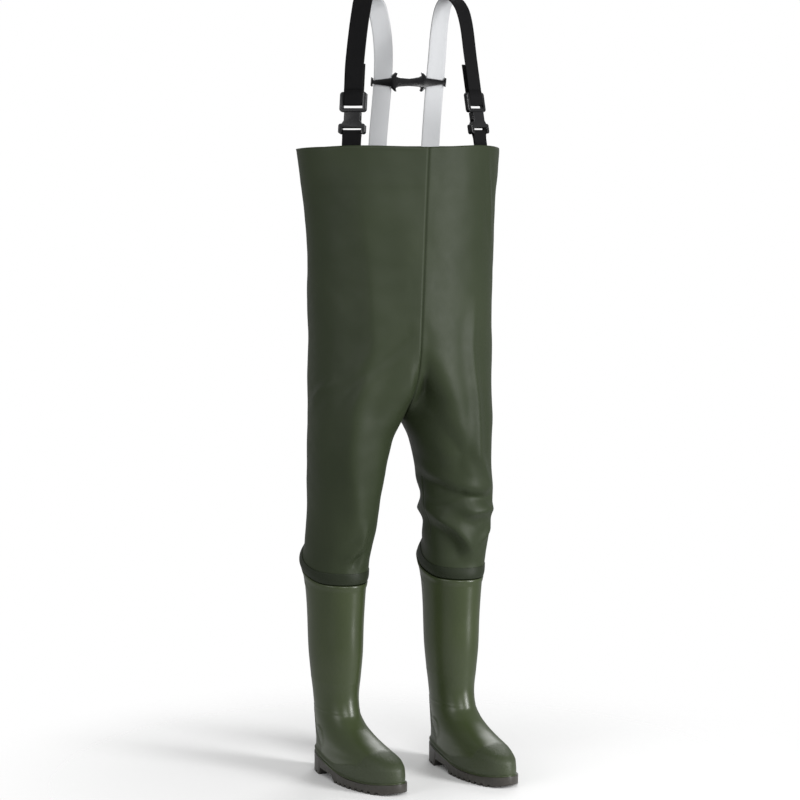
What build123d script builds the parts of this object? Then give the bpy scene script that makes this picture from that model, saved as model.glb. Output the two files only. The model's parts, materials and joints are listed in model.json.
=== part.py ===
from build123d import *
from math import acos, atan2, ceil, cos, exp, floor, pi, radians, sin
import os

# Chest waders: a coated-fabric chest and legs, moulded boots, and braces with side-release
# buckles. All sizes are in millimetres. +Z is up, the wearer faces -Y and the wearer's right
# side is -X. Everything is drawn about the wearer's own axis and moved back by body_y when it is
# written, so that the origin is on the floor under the middle of the whole object.

# overall sizes
rim_z = 1268.0  # chest rim above the floor
hip_z = 890.0  # the chest hangs straight above this height
crotch_z = 738.0
knee_z = 560.0  # hinge of the knee
knee_reach = 76.0  # half the height of the sleeve that bends at the knee
shoulder_z = 1562.0  # top of the braces
body_y = 25.0  # wearer's axis behind the origin

# coated fabric
fabric_wall = 2.0
seam_gap = 0.2  # between the two halves along the centre weld
lay_gap = 0.3  # between layers that lie on each other
loft_step = 34.0  # height between drawn sections of the fabric
weld_overlap = 8.0  # how far a hollow is drawn past an open edge, so that it cuts cleanly
facing_depth = 78.0  # inner hem band at the rim
facing_wall = 1.2
tape_width = 24.0
tape_wall = 1.0
cuff_height = 27.0  # reinforcing band round the leg, above the edge of the boot
cuff_tuck = 12.0  # and how far it goes down inside the boot
cuff_wall = 1.2
rim_half_width = 204.0
rim_front = 156.0
rim_back = 140.0
front_hang = 11.0  # how far the front and back of the rim hang to the wearer's left
back_hang = 46.0

# boots
boot_x = 123.0  # shaft axis from the middle
boot_y = 44.0  # shaft axis behind the wearer's axis
boot_turn = 15.0  # degrees that both boots turn to the wearer's left
turn_low = 480.0  # the legs turn with the boots up to here
turn_high = 690.0  # and not at all from here up
boot_wall = 3.0
boot_top_front = 396.0  # the top edge is low in front and high behind
boot_top_back = 452.0
leg_tuck = 34.0  # how far the fabric goes down inside the front of the boot
sole_length = 300.0
sole_width = 104.0
upper_inset = 5.0  # the upper stands in from the edge of the outsole
heel_back = 66.0  # back of the outsole behind the shaft axis
heel_height = 39.0
forefoot_height = 18.0
toe_spring = 7.0
sole_skew = 9.0  # the toe swings in towards the other foot
sole_gap = 0.05
tread_depth = 5.0
tread_groove = 6.5
tread_pitch = 17.0
heel_breast = 4.0  # front face of the heel block behind the shaft axis
insole_wall = 4.0
insole_gap = 1.0

# webbing and its anchors inside the rim
strap_width = 38.0
strap_wall = 1.6
strap_room = 0.8  # room beside the webbing in a slot
anchor_depth = 58.0  # webbing below the rim
anchor_inset = 12.0  # middle of the front webbing, in from the outside of the fabric
patch_width = 58.0
patch_height = 48.0
patch_wall = 1.2
front_anchor_x = 139.0
front_anchor_turn = 33.0  # degrees that the buckle faces away from straight ahead
tab_rise = 30.0  # bar of the socket above the rim
tab_lean = 10.0  # degrees that the buckle leans back
back_anchor_half = 56.0
back_centre = 44.0  # middle of the two back straps
back_strap_rim_y = 116.5
back_strap_high_y = 74.0
back_strap_high_z = 1440.0  # the straps are straight from here down to the rim
tail_length = 52.0

# buckle
bar_radius = 1.9
bar_room = 0.25  # between a bar and the webbing round it
buckle_depth = 12.0
base_width = 54.0
base_low = 4.5  # cheeks of the socket below its bar
base_high = 15.0
base_slot = 7.4
waist_width = 33.0
socket_height = 38.0
socket_wall = 2.2
window_low = 19.5
window_high = 31.0
prong_width = 4.1
prong_gap = 0.35
prong_depth = 6.4
latch_rise = 3.3  # how far a prong's head stands out of its arm
guide_width = 5.0
plug_gap = 0.3
frame_height = 39.0
frame_depth = 9.0
frame_side = 7.2
frame_bar = 5.5
frame_base = 7.0

# crossbar of the back straps
crossbar_z = 1397.0
crossbar_height = 18.0
crossbar_arm_end = 7.0
crossbar_arm_wall = 2.2
crossbar_post = 6.0
crossbar_horn = 19.0  # half the height over the horns
crossbar_cap = 2.8
crossbar_cap_height = 18.0


# ---- sections of the fabric --------------------------------------------------------------

# One row for each level of a garment half: height, outermost x, x of the middle of the curve,
# reach to the front and to the back, and how far the whole section lies behind the axis.
garment_levels = [
    (340.0, 170.5, 123.0, 65.0, 65.0, boot_y),
    (396.0, 174.0, 123.5, 68.0, 68.0, 43.0),
    (440.0, 185.0, 124.5, 75.0, 75.0, 36.0),
    (520.0, 188.5, 121.5, 84.0, 84.0, 22.0),
    (600.0, 188.0, 115.0, 94.0, 94.0, 12.0),
    (crotch_z - 58, 187.5, 106.0, 106.0, 106.0, 1.0),
    (crotch_z - 8, 187.5, 94.0, 115.0, 115.0, 0.0),
    (crotch_z + 20, 187.0, 86.0, 120.0, 121.0, 0.0),
    (hip_z - 100, 187.0, 70.0, 127.0, 128.0, 0.0),
    (hip_z - 55, 187.0, 42.0, 135.0, 134.0, 0.0),
    (hip_z, 187.0, 12.0, 143.0, 139.0, 0.0),
    (rim_z - 280, 188.0, 0.0, 148.0, 140.0, 0.0),
    (rim_z - 148, 194.0, 0.0, 152.0, 139.0, 0.0),
    (rim_z, rim_half_width, 0.0, rim_front, rim_back, 0.0),
]


def smooth(heights, values, z):
    """Value at a height, on a smooth curve that never passes beyond its neighbouring points."""

    def secant(k):
        return (values[k + 1] - values[k]) / (heights[k + 1] - heights[k])

    def slope(k):
        if k == 0:
            return secant(0)
        if k == len(heights) - 1:
            return secant(k - 1)
        before, after = secant(k - 1), secant(k)
        return 0.0 if before * after <= 0 else 2 * before * after / (before + after)

    z = max(heights[0], min(heights[-1], z))
    k = max(i for i in range(len(heights) - 1) if heights[i] <= z)
    span = heights[k + 1] - heights[k]
    t = (z - heights[k]) / span
    start, end = values[k], values[k + 1]
    return (
        start * (1 + 2 * t) * (1 - t) ** 2
        + end * t * t * (3 - 2 * t)
        + slope(k) * span * t * (1 - t) ** 2
        - slope(k + 1) * span * t * t * (1 - t)
    )


def hang(y, z):
    """Sideways hang of the chest at a depth: nothing at the hip, everything at the rim."""
    square = (back_hang / rim_back + front_hang / rim_front) / (rim_back + rim_front)
    linear = back_hang / rim_back - square * rim_back
    rise = max(0.0, min(1.0, (z - hip_z) / (rim_z - hip_z)))
    return rise * (linear * y + square * y * y)


def turned(x, y, z, side):
    """A point of a leg, turned about the boot's axis as much as the leg is at its height."""
    share = smooth([turn_low, turn_high], [1.0, 0.0], z)
    angle = radians(boot_turn) * share * share * (3 - 2 * share)
    x, y = x - side * boot_x, y - boot_y
    x, y = x * cos(angle) - y * sin(angle), x * sin(angle) + y * cos(angle)
    return Vector(x + side * boot_x, y + boot_y, z)


def drawn_points(level, side, inset, open_edge):
    """Points of a garment half's curve at one drawn level, a multiple of loft_step."""
    z = level * loft_step
    heights = [row[0] for row in garment_levels]
    outer, middle, front, back, behind = (
        smooth(heights, [row[k] for row in garment_levels], z) for k in range(1, 6)
    )
    width = outer - inset - middle
    edge = max(open_edge, middle - 0.99 * (outer - middle) + inset)
    span = acos((edge - middle) / width)
    steps = 12
    points = []
    for k in range(steps + 1):
        angle = -span + 2 * span * k / steps
        y = ((front if angle < 0 else back) - inset) * sin(angle)
        x = side * (middle + width * cos(angle)) + hang(y, z)
        points.append(turned(x, y + behind, z, side))
    return points


def garment_section(z, side, inset, open_edge):
    """Closed outline of one garment half, on the straight rulings between drawn levels. Its
    straight edge is at open_edge where the halves meet, and inside the leg below the crotch."""
    level = floor(z / loft_step)
    share = z / loft_step - level
    lower, upper = (drawn_points(k, side, inset, open_edge) for k in (level, level + 1))
    curve = Spline(*[a * (1 - share) + b * share for a, b in zip(lower, upper)])
    return Wire([curve, Line(curve @ 1, curve @ 0)])


def garment_solid(side, inset, open_edge, low, high, spare=0.0):
    """Solid half of the garment between two heights, drawn on by spare past both ends."""
    between = range(floor(low / loft_step) + 1, ceil(high / loft_step))
    heights = [low, *[k * loft_step for k in between], high]
    wires = [garment_section(z, side, inset, open_edge) for z in heights]
    if spare:
        wires.insert(0, wires[0].moved(Pos(0, 0, -spare)))
        wires.append(wires[-1].moved(Pos(0, 0, spare)))
    return Solid.make_loft(wires, ruled=True)


def garment_shell(side, inset, wall, low, high, edge=seam_gap / 2):
    """Cloth of one half: open at the top, the bottom and the centre weld."""
    cloth = garment_solid(side, inset, edge, low, high)
    return cloth - garment_solid(side, inset + wall, -weld_overlap, low, high, spare=5.0)


def lining(inset, wall, low, high):
    """A layer of cloth right round the inside of the chest."""
    halves = [garment_shell(side, inset, wall, low, high, edge=0.0) for side in (-1, 1)]
    return halves[0] + halves[1]


def seam_tape(way):
    """Inner tape over the centre weld, below the facing: way is -1 in front and 1 behind."""
    low, high = crotch_z + 90, rim_z - facing_depth - 1.0
    layer = lining(fabric_wall + lay_gap, tape_wall, low, high)
    stripes = []
    for z in (low - 1, hip_z, high + 1):
        y = rim_front if way < 0 else rim_back
        stripe = Pos(hang(way * y, z), way * rim_front / 2, z) * Rectangle(tape_width, rim_front)
        stripes.append(stripe.wire())
    return layer & Solid.make_loft(stripes, ruled=True)


def side_prism(edges, reach):
    """A closed side view (y, z) made solid for reach to both sides."""
    return extrude(Plane.YZ * make_face(edges), reach, both=True)


def above(curve, top, reach):
    """Everything above a side-view curve."""
    start, end = curve @ 0, curve @ 1
    corners = Polyline((end.X, end.Y), (end.X, top), (start.X, top), (start.X, start.Y))
    return side_prism([curve, *corners.edges()], reach)


# ---- boots -------------------------------------------------------------------------------

toe_reach = sole_length - heel_back
upper_toe = toe_reach - upper_inset
upper_heel = heel_back - upper_inset
upper_half = sole_width / 2 - upper_inset

# One row for each level of the boot: height, half width, reach to the toe and to the heel, how
# much wider the front half is than the back half, and how far the toe swings in.
boot_levels = [
    (8.0, upper_half - 3, upper_toe - 3, upper_heel - 1, 0.13, sole_skew),
    (30.0, upper_half, upper_toe, upper_heel, 0.13, sole_skew),
    (48.0, upper_half, upper_toe - 2, upper_heel + 0.5, 0.12, sole_skew),
    (60.0, upper_half - 1, upper_toe - 12, upper_heel, 0.11, sole_skew),
    (70.0, upper_half - 2, upper_toe - 35, upper_heel - 1, 0.10, 0.7 * sole_skew),
    (80.0, upper_half - 3, upper_toe - 70, upper_heel - 2, 0.08, 0.5 * sole_skew),
    (93.0, upper_half - 4.5, upper_toe - 108, upper_heel - 3, 0.06, 0.3 * sole_skew),
    (110.0, upper_half - 6, upper_toe - 141, upper_heel - 4.5, 0.03, 0.1 * sole_skew),
    (132.0, upper_half - 6.5, upper_toe - 163, upper_heel - 6, 0.0, 0.0),
    (165.0, upper_half - 5, upper_toe - 170, upper_heel - 4, 0.0, 0.0),
    (205.0, upper_half - 1, upper_toe - 166, upper_heel + 2, 0.0, 0.0),
    (260.0, upper_half + 3.5, upper_toe - 160, upper_heel + 8, 0.0, 0.0),
    (330.0, upper_half + 5, upper_toe - 157, upper_heel + 11, 0.0, 0.0),
    (385.0, upper_half + 9, upper_toe - 153, upper_heel + 14, 0.0, 0.0),
    (420.0, upper_half + 17, upper_toe - 147.5, upper_heel + 18, 0.0, 0.0),
    (460.0, upper_half + 25, upper_toe - 142, upper_heel + 24, 0.0, 0.0),
]


def foot_outline(side, half, toe, heel, taper, skew, waist=0.0):
    """Points round a foot-shaped outline, from the toe."""
    steps = 18
    points = []
    for k in range(steps):
        angle = 2 * pi * k / steps
        y = (heel - toe) / 2 - (heel + toe) / 2 * cos(angle)
        narrow = 1 - waist * exp(-(((y + 42) / 38) ** 2))
        x = half * sin(angle) * (1 + taper * cos(angle)) * narrow
        points.append((x - side * skew * ((1 + cos(angle)) / 2) ** 2, y))
    return points


def boot_form(side, inset):
    """The boot's outer form, or with an inset its hollow. Over the instep the hollow also lies
    lower, so that the wall keeps its thickness on that slope."""
    wires = []
    for z, half, toe, heel, taper, skew in boot_levels:
        drop = 0.9 * inset if 45 < z < 125 else 0.0
        points = foot_outline(side, half - inset, toe - inset, heel - inset, taper, skew)
        wires.append(Wire(Spline(*[(x, y, z - drop) for x, y in points], periodic=True)))
    return Solid.make_loft(wires)


def sole_joint(lift):
    """Side view of the joint between upper and outsole, toe to heel."""
    return Spline(
        (-toe_reach - 20, forefoot_height + toe_spring + 2 + lift),
        (-toe_reach * 0.72, forefoot_height - 0.5 + lift),
        (-toe_reach * 0.42, forefoot_height + 1.5 + lift),
        (-toe_reach * 0.12, heel_height - 9 + lift),
        (heel_back * 0.35, heel_height - 2 + lift),
        (heel_back + 20, heel_height + 1.5 + lift),
    )


def boot_edge(lift):
    """Side view of the boot's top edge, front to back."""
    rise = boot_top_back - boot_top_front
    return Spline(
        (-115, boot_top_front - 2 + lift),
        (-40, boot_top_front + 1 + lift),
        (15, boot_top_front + 0.25 * rise + lift),
        (60, boot_top_front + 0.76 * rise + lift),
        (115, boot_top_back + 0.42 * rise + lift),
    )


def boot_place(side):
    """Where a boot stands: it is drawn about its shaft's axis, with the toe to -Y."""
    return Pos(side * boot_x, boot_y, 0) * Rot(0, 0, boot_turn)


def boot_shell(side):
    form = boot_form(side, 0.0) & above(sole_joint(sole_gap), 600, 90)
    hollow = boot_form(side, boot_wall) & above(sole_joint(boot_wall), 600, 90)
    return form - hollow - above(boot_edge(0), 700, 120)


def insole(side):
    lift = boot_wall + lay_gap
    bed = boot_form(side, boot_wall + insole_gap) & above(sole_joint(lift), 600, 90)
    return bed - above(sole_joint(lift + insole_wall), 700, 120)


def outsole(side):
    plan = foot_outline(side, sole_width / 2, toe_reach, heel_back, 0.12, sole_skew, waist=0.06)
    block = extrude(make_face(Spline(*plan, periodic=True)), 2 * heel_height)
    joint = sole_joint(0.0)
    start, end = joint @ 0, joint @ 1
    arch = forefoot_height - 2
    ball, tip = -toe_reach * 0.31, -toe_reach * 0.86
    ground = Polyline(
        (end.X, end.Y),
        (end.X, 0),
        (heel_breast, 0),
        (heel_breast - 7, arch),
        (ball + 14, arch - 3),
        (ball, 0),
        (tip, 0),
        (start.X, toe_spring + 4),
        (start.X, start.Y),
    )
    block &= side_prism([joint, *ground.edges()], sole_width)
    count = int((toe_reach + ball - 12) / tread_pitch)
    grooves = [ball - tread_pitch * (k + 0.6) for k in range(count)]
    grooves += [heel_breast + tread_pitch, heel_breast + 2.2 * tread_pitch]
    for y in grooves:
        block -= Pos(0, y, 0) * Box(2 * sole_width, tread_groove, 2 * tread_depth)
    return block


def cuff_band(side):
    """Reinforcing band round the end of the leg, partly inside the boot."""
    low, high = boot_top_front - leg_tuck, knee_z - knee_reach
    ring = garment_shell(side, -lay_gap - cuff_wall, cuff_wall, low, high)
    ring = boot_place(side).inverse() * ring & above(boot_edge(-cuff_tuck), 700, 120)
    return ring - above(boot_edge(cuff_height), 700, 120)


# ---- webbing -----------------------------------------------------------------------------


def wall_spot(side, x, inset):
    """Point on the front of the rim, inset from the outside of the fabric."""
    angle = acos(x / rim_half_width)
    y = -rim_front * sin(angle)
    slope = atan2(x / rim_half_width**2, -y / rim_front**2)
    return Vector(side * (x - inset * sin(slope)) + hang(y, rim_z), y + inset * cos(slope), rim_z)


def rim_plane(side):
    """Upright plane of a front anchor: x along the rim, y inwards and z up."""
    turn = radians(front_anchor_turn)
    along = Vector(cos(turn), side * sin(turn), 0)
    return Plane(wall_spot(side, front_anchor_x, anchor_inset), x_dir=along, z_dir=(0, 0, 1))


def buckle_plane(side):
    """Plane of a buckle, at the bar of its socket: z runs up along the strap."""
    upright = rim_plane(side)
    lean = radians(tab_lean)
    axis = upright.y_dir * sin(lean) + upright.z_dir * cos(lean)
    return Plane(upright.origin + axis * tab_rise, x_dir=upright.x_dir, z_dir=axis)


def band(spots):
    """Flat webbing through a list of (point, direction, width direction), as flat facets."""
    rings = []
    for point, along, across in spots:
        wide = (across - along * across.dot(along)).normalized() * strap_width / 2
        thick = along.cross(wide).normalized() * strap_wall / 2
        signs = ((1, 1), (-1, 1), (-1, -1), (1, -1))
        rings.append([point + wide * a + thick * b for a, b in signs])
    outlines = [rings[0], rings[-1]]
    for low, high in zip(rings, rings[1:]):
        for k in range(4):
            nearby = (k + 1) % 4
            outlines.append([low[k], low[nearby], high[nearby]])
            outlines.append([low[k], high[nearby], high[k]])
    return Solid(Shell([Face(Wire.make_polygon(outline)) for outline in outlines]))


def side_view_band(points, across=Vector(1, 0, 0)):
    """Webbing along a side view of (y, z) points, with mitred turns."""
    spots = [Vector(0, y, z) for y, z in points]
    runs = [(b - a).normalized() for a, b in zip(spots, spots[1:])]
    turns = [runs[0]] + [(a + b).normalized() for a, b in zip(runs, runs[1:])] + [runs[-1]]
    return band([(p, t, across) for p, t in zip(spots, turns)])


def bar_turn(z, radius, upwards):
    """Half turn of webbing round a bar, over it or under it."""
    ring = Cylinder(radius + strap_wall / 2, strap_width) - Cylinder(radius - strap_wall / 2, strap_width)
    half = Pos(0, 0, (radius + 5) / 2 * (1 if upwards else -1)) * Box(strap_width, 4 * radius, radius + 5)
    return Pos(0, 0, z) * (Rot(0, 90, 0) * ring & half)


tab_turn = bar_radius + bar_room + strap_wall / 2
plug_bar_z = socket_height + plug_gap + frame_base + 9.0  # bar that the strap turns round
join_z = socket_height + plug_gap + frame_height + 4.0  # where the loop meets the long strap
loop_turn = bar_radius + bar_room + strap_wall / 2
loop_front = loop_turn + 1.3  # the webbing passes in front of and behind the top bar


def front_tab(side):
    """Short webbing: two layers up from inside the rim, and a turn round the socket's bar."""
    lean = radians(tab_lean)
    layer = strap_wall / 2 + 0.1
    foot = -tab_rise
    parts = bar_turn(0, tab_turn, True)
    for way in (-1, 1):
        kink = (way * layer, foot + way * layer * 0.2)
        depth = anchor_depth if way < 0 else anchor_depth * 0.75
        end = (kink[0] + depth * sin(lean), kink[1] - depth * cos(lean))
        parts += side_view_band([(way * tab_turn, 0), (way * layer, -12), kink, end])
    return buckle_plane(side).location * parts


def strap_loop(side):
    """Adjusting end of the strap: round the plug's middle bar, with the free tail behind."""
    parts = bar_turn(plug_bar_z, loop_turn, False)
    for way, top in ((-1, join_z), (1, join_z + tail_length)):
        bend = plug_bar_z + 7.0
        points = [(way * loop_turn, plug_bar_z), (way * loop_front, bend), (way * loop_front, top)]
        parts += side_view_band(points)
    return buckle_plane(side).location * parts


def strap_spots(side):
    """Stations of a shoulder strap from its buckle, over the shoulder, to inside the back."""
    start = buckle_plane(side)
    join = start.origin - start.y_dir * loop_front + start.z_dir * join_z
    straight = join + start.z_dir * (tail_length + 4)
    high_y = back_strap_high_y
    back_x = side * back_anchor_half + back_centre

    def arch(half, centre, y, z):
        return Vector(side * half + centre, y, z)

    over = Spline(
        straight,
        arch(105, 15, -34, shoulder_z - 30),
        arch(88, 18, 0, shoulder_z),
        arch(67, 31, 34, shoulder_z - 25),
        Vector(back_x, high_y, back_strap_high_z),
        tangents=[start.z_dir, Vector(0, back_strap_rim_y - high_y, rim_z - back_strap_high_z)],
    )
    front_turn, top_turn = radians(front_anchor_turn), radians(12)
    turn_at = [front_turn, front_turn, top_turn, 0.0]
    spots = [(join, start.z_dir, start.x_dir)]
    steps = 22
    for k in range(steps + 1):
        t = k / steps
        turn = smooth([0, 0.05, 0.55, 1.0], turn_at, t)
        spots.append((over @ t, over % t, Vector(cos(turn), side * sin(turn), 0)))
    across = Vector(1, 0, 0)
    down = Vector(0, 0, -1)
    slant = (over % 1).normalized()
    rim = Vector(back_x, back_strap_rim_y, rim_z)
    spots.append((rim, (slant + down).normalized(), across))
    spots.append((rim + down * anchor_depth, down, across))
    return spots


def rounded_plate(width, height, wall, corner):
    """Upright plate with rounded corners: x wide, z high, centred."""
    return extrude(Plane.XZ * RectangleRounded(width, height, corner), wall / 2, both=True)


def front_anchor(side):
    inner = strap_wall + 0.1 + lay_gap + patch_wall / 2
    plate = rounded_plate(patch_width, patch_height, patch_wall, 6.0)
    return rim_plane(side).location * (Pos(0, inner, -6 - patch_height / 2) * plate)


def back_anchor(side):
    inner = strap_wall / 2 + lay_gap + patch_wall / 2
    plate = rounded_plate(patch_width, patch_height, patch_wall, 6.0)
    x = side * back_anchor_half + back_centre
    return Pos(x, back_strap_rim_y - inner, rim_z - 6 - patch_height / 2) * plate


# ---- buckles -----------------------------------------------------------------------------


def bar(width, radius, z):
    return Pos(0, 0, z) * (Rot(0, 90, 0) * Cylinder(radius, width))


def socket():
    """Female half: cheeks and bar at the bottom, and a waist with a window at each side."""
    base_height = base_low + base_high
    outline = Pos(0, (base_high - base_low) / 2) * RectangleRounded(base_width, base_height, 4.5)
    shoulders = Polyline(
        (-base_width / 2 + 5, base_high - 2),
        (-waist_width / 2, base_high + 6),
        (waist_width / 2, base_high + 6),
        (base_width / 2 - 5, base_high - 2),
        close=True,
    )
    waist = Pos(0, (socket_height + base_high) / 2)
    waist *= Rectangle(waist_width, socket_height - base_high)
    face = Plane.XZ * (outline + make_face(shoulders) + waist)
    body = extrude(face, buckle_depth / 2, both=True)
    body = fillet(body.edges().filter_by(GeomType.LINE).filter_by(Plane.XZ), 1.2)
    slot_width = strap_width + 2 * strap_room
    body -= Pos(0, 0, (base_slot - base_low) / 2) * Box(slot_width, 20, base_slot + base_low + 0.01)
    body += bar(slot_width + 2, bar_radius, 0)
    cavity = waist_width - 2 * socket_wall
    bottom = base_slot + 3.0
    depth = prong_depth + 2 * prong_gap
    body -= Pos(0, 0, (socket_height + bottom) / 2 + 1) * Box(cavity, depth, socket_height - bottom + 2)
    window = window_high - window_low
    body -= Pos(0, 0, window_low + window / 2) * Box(base_width, depth, window)
    return body


def plug():
    """Male half: ladder frame with its bars, and the guide between the prongs."""
    low = socket_height + plug_gap
    width = strap_width + 2 * strap_room + 2 * frame_side
    plate = RectangleRounded(width, frame_height, 6.0)
    body = extrude(Plane.XZ * plate, frame_depth / 2, both=True)
    body = fillet(body.edges().filter_by(Plane.XZ), 1.5)
    body = Pos(0, 0, low + frame_height / 2) * body
    slot_width = strap_width + 2 * strap_room
    slot_high = low + frame_height - frame_bar
    slot_low = low + frame_base
    middle = (slot_low + slot_high) / 2
    body -= Pos(0, 0, middle) * Box(slot_width, 20, slot_high - slot_low)
    top_bar = Pos(0, 0, low + frame_height - frame_bar / 2)
    thin = 2 * (loop_front - strap_wall / 2 - bar_room)
    for way in (-1, 1):
        cut = Pos(0, way * (thin / 2 + frame_depth), 0) * Box(slot_width, 2 * frame_depth, frame_bar + 6)
        body -= top_bar * cut
    body += bar(slot_width + 2, bar_radius, plug_bar_z)
    guide_low = window_low
    body += Pos(0, 0, (guide_low + low + 1) / 2) * Box(guide_width, prong_depth, low + 1 - guide_low)
    return body


def prong(way):
    """Flexible arm with its latch head, in the socket's window; way is -1 or 1 in x."""
    low = socket_height + plug_gap
    outer = waist_width / 2 - socket_wall - prong_gap
    inner = outer - prong_width
    head_low, head_high = window_low + 0.8, window_high - 0.5
    outline = Polyline(
        (way * inner, low - 0.05),
        (way * inner, head_low - 2),
        (way * (outer - 1), head_low - 2),
        (way * (outer + latch_rise), head_low + 4),
        (way * (outer + latch_rise), head_high),
        (way * outer, head_high),
        (way * outer, low - 0.05),
        close=True,
    )
    return extrude(Plane.XZ * make_face(outline), prong_depth / 2, both=True)


# ---- crossbar ----------------------------------------------------------------------------


def back_plane(z):
    """Plane of the two back straps at a height: x across, y outwards and z up along them."""
    lean = Vector(0, back_strap_high_y - back_strap_rim_y, back_strap_high_z - rim_z)
    y = back_strap_rim_y + lean.Y * (z - rim_z) / lean.Z
    return Plane((back_centre, y, z), x_dir=(1, 0, 0), z_dir=lean.normalized())


def crossbar():
    """Flat bar with four horns, and at each end a slot that a back strap runs through."""
    slot_inner = back_anchor_half - strap_width / 2 - strap_room
    slot_outer = back_anchor_half + strap_width / 2 + strap_room
    gap = strap_wall / 2 + strap_room
    middle = gap + crossbar_arm_wall
    half = crossbar_height / 2
    post = slot_inner - crossbar_post
    quarter = [
        (0, half - 1.5),
        (post - 9, half),
        (post - 3, half + 3),
        (post - 5, crossbar_horn),
        (post - 1.5, crossbar_horn),
        (slot_inner, half + 3),
    ]
    outline = quarter + [(x, -z) for x, z in reversed(quarter[1:])] + [(0, 1.5 - half)]
    outline += [(-x, -z) for x, z in quarter[1:]] + [(-x, z) for x, z in reversed(quarter[1:])]
    body = extrude(Plane.XZ * make_face(Polyline(*outline, close=True)), middle, both=True)
    for side in (-1, 1):
        arm = Polyline(
            (side * (slot_inner - 1), half),
            (side * (slot_outer + 0.5), crossbar_arm_end / 2),
            (side * (slot_outer + 0.5), -crossbar_arm_end / 2),
            (side * (slot_inner - 1), -half),
            close=True,
        )
        web = extrude(Plane.XZ * make_face(arm), middle, both=True)
        slot = Pos(side * back_anchor_half, 0, 0)
        web -= slot * Box(slot_outer - slot_inner, 2 * gap, 2 * crossbar_height)
        cap = Pos(side * (slot_outer + crossbar_cap / 2), 0, 0)
        body += web + cap * Box(crossbar_cap, 2 * middle, crossbar_cap_height)
    return back_plane(crossbar_z).location * body


# ---- the whole object --------------------------------------------------------------------


def leg_nodes(name, side):
    """Everything from the thigh down on one side, in the wearer's frame."""
    knee_low, knee_high = knee_z - knee_reach, knee_z + knee_reach
    at_boot = boot_place(side)
    return {
        f"{name}_body_panel": garment_shell(side, 0, fabric_wall, knee_high, rim_z),
        f"{name}_knee_section": garment_shell(side, 0, fabric_wall, knee_low, knee_high),
        f"{name}_lower_leg": garment_shell(
            side, 0, fabric_wall, boot_top_front - leg_tuck, knee_low
        ),
        f"{name}_cuff_band": at_boot * cuff_band(side),
        f"{name}_boot_shell": at_boot * boot_shell(side),
        f"{name}_boot_outsole": at_boot * outsole(side),
        f"{name}_insole": at_boot * insole(side),
    }


def brace_nodes(name, side):
    """One brace with its anchors and its buckle."""
    place = buckle_plane(side).location
    return {
        f"{name}_front_tab": front_tab(side),
        f"{name}_front_anchor": front_anchor(side),
        f"{name}_back_anchor": back_anchor(side),
        f"{name}_shoulder_strap": band(strap_spots(side)),
        f"{name}_strap_loop": strap_loop(side),
        f"{name}_buckle_socket": place * socket(),
        f"{name}_buckle_plug": place * plug(),
        f"{name}_outer_prong": place * prong(side),
        f"{name}_inner_prong": place * prong(-side),
    }


def main():
    nodes = {
        "top_facing": lining(
            fabric_wall + lay_gap, facing_wall, rim_z - facing_depth, rim_z - 2
        ),
        "front_seam_tape": seam_tape(-1),
        "back_seam_tape": seam_tape(1),
        "back_crossbar": crossbar(),
    }
    for name, side in (("right", -1), ("left", 1)):
        nodes.update(leg_nodes(name, side))
        nodes.update(brace_nodes(name, side))
    os.makedirs("parts", exist_ok=True)
    for name, shape in nodes.items():
        export_step(Pos(0, body_y, 0) * shape, f"parts/{name}.step")


if __name__ == "__main__":
    main()
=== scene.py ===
import bpy
import bmesh
import json
from math import acos, cos, exp, floor, pi, radians, sin, sqrt
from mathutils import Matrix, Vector, noise
from mathutils.geometry import interpolate_bezier


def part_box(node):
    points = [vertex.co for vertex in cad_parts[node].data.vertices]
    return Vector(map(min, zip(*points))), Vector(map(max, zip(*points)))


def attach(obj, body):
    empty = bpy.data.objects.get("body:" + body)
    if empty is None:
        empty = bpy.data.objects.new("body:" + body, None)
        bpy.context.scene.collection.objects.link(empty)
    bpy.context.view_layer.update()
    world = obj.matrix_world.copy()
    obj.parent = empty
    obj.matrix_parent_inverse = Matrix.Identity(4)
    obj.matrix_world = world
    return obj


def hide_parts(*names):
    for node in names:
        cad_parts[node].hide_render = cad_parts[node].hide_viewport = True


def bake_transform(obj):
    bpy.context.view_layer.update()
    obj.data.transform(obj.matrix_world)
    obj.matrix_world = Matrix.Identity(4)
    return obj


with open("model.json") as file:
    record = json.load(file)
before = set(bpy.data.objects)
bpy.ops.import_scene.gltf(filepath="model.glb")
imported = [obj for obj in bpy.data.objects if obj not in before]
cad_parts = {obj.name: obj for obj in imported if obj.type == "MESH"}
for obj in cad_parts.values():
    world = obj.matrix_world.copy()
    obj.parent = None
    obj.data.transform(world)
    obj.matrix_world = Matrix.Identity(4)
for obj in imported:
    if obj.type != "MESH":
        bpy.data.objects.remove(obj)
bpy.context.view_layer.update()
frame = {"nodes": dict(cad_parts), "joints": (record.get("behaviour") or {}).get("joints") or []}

# All lengths are in metres. The wearer faces -Y and their right side is -X.
scene = bpy.context.scene
print("frame loaded", len(frame["nodes"]), "nodes")

sides = (("right", -1), ("left", 1))
axisY = 0.025  # the wearer's own axis lies this far behind the origin


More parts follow.
